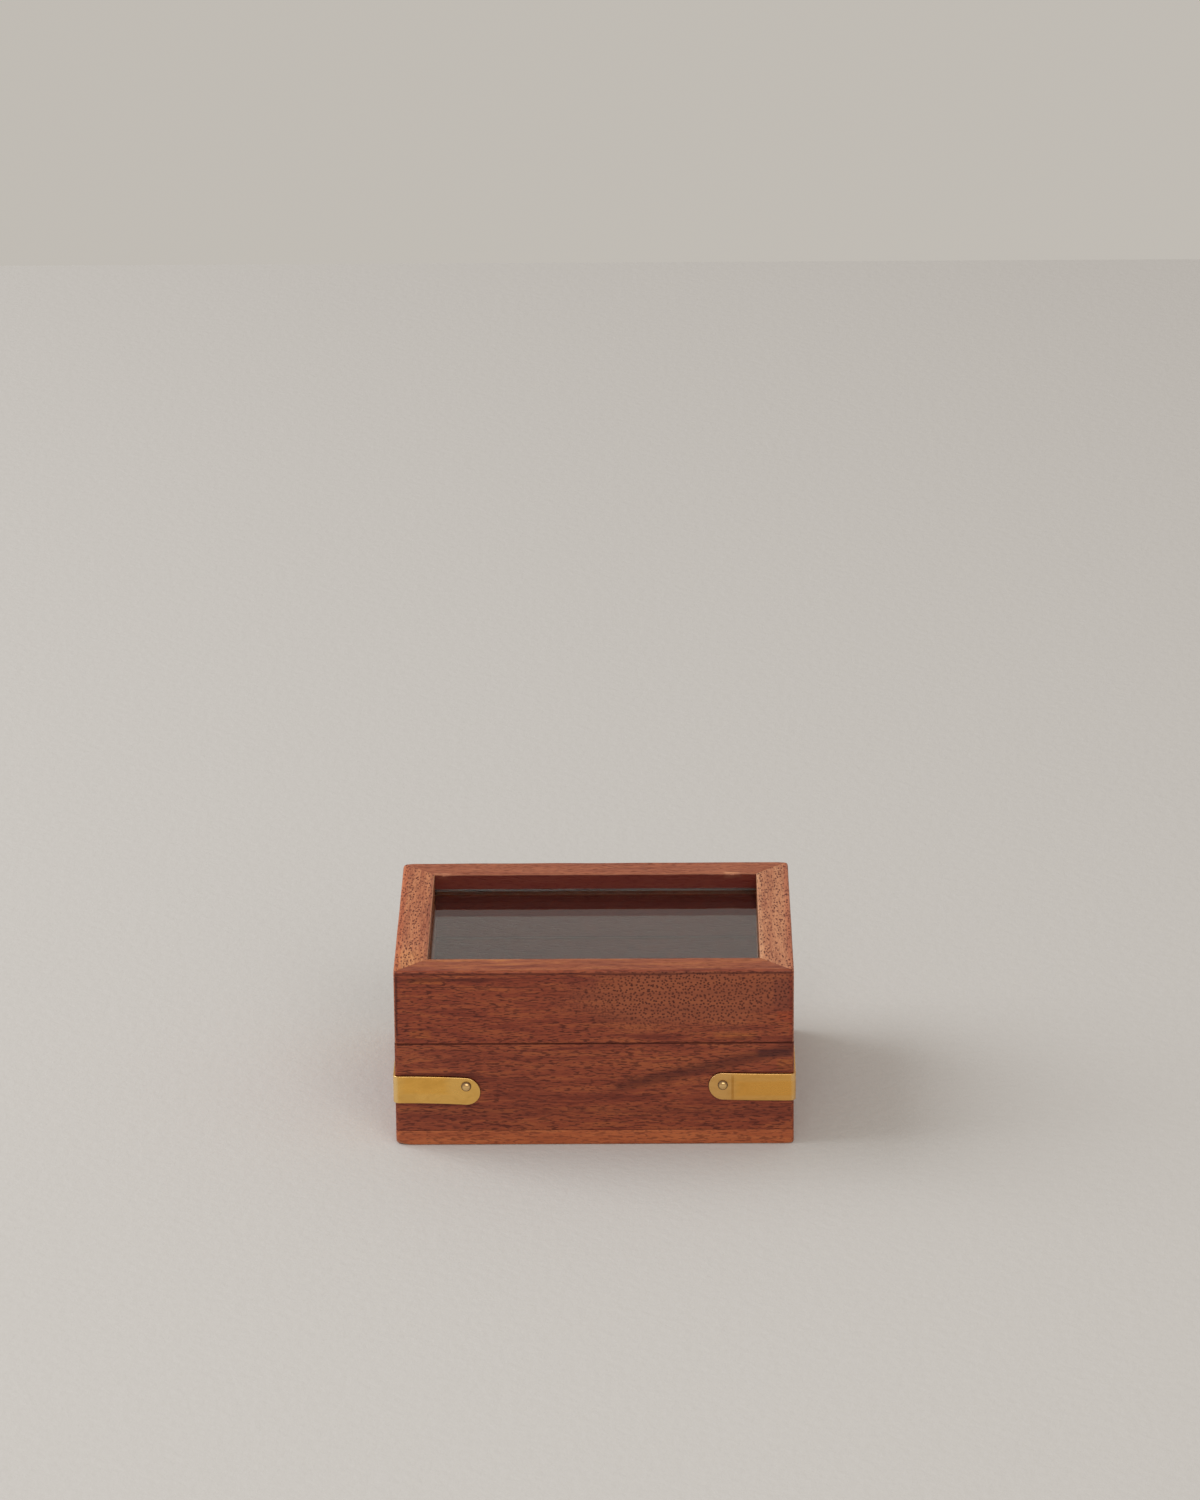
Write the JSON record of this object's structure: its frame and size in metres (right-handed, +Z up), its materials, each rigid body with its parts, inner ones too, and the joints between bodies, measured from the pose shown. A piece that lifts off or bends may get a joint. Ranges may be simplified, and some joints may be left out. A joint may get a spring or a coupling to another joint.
{
  "type": "display box",
  "caption": "Small mitred hardwood display box with a hinged, glazed lid, planted board and brass corner straps held by domed pins.",
  "frame": {"origin": "middle of the underside of the board, on the table the box stands on", "axes": "+Z up, +X to the right along the long side, +Y to the rear where the hinges are; the front faces -Y"},
  "size_m": [0.1032, 0.0812, 0.0481],
  "materials": {
    "wall_wood": "hand-rubbed oil on an open-pored red-brown hardwood",
    "board_wood": "oiled, a lighter and more orange board",
    "pane": "clear polished acrylic sheet",
    "strap_brass": "brushed, lightly tarnished",
    "pin_brass": "turned and polished",
    "hinge_brass": "drawn, satin",
    "brad_steel": "plain steel"
  },
  "bodies": {
    "base": {"base_front_wall": "wall_wood", "base_rear_wall": "wall_wood", "base_left_wall": "wall_wood", "base_right_wall": "wall_wood", "base_board": "board_wood", "base_board_brads": "brad_steel", "front_left_strap": "strap_brass", "front_left_strap_pins": "pin_brass", "front_right_strap": "strap_brass", "front_right_strap_pins": "pin_brass", "rear_left_strap": "strap_brass", "rear_left_strap_pins": "pin_brass", "rear_right_strap": "strap_brass", "rear_right_strap_pins": "pin_brass", "left_hinge_base_leaf": "hinge_brass", "left_hinge_base_screws": "hinge_brass", "left_hinge_pin": "hinge_brass", "right_hinge_base_leaf": "hinge_brass", "right_hinge_base_screws": "hinge_brass", "right_hinge_pin": "hinge_brass"},
    "lid": {"lid_front_rail": "wall_wood", "lid_rear_rail": "wall_wood", "lid_left_rail": "wall_wood", "lid_right_rail": "wall_wood", "clear_pane": "pane", "left_hinge_lid_leaf": "hinge_brass", "left_hinge_lid_screws": "hinge_brass", "right_hinge_lid_leaf": "hinge_brass", "right_hinge_lid_screws": "hinge_brass"}
  },
  "joints": [
    {"name": "lid_hinge", "type": "hinge", "parent": "base", "child": "lid", "pos_m": [0, 0.04, 0.028], "axis": [-1, 0, 0], "range_deg": [0, 180]}
  ]
}
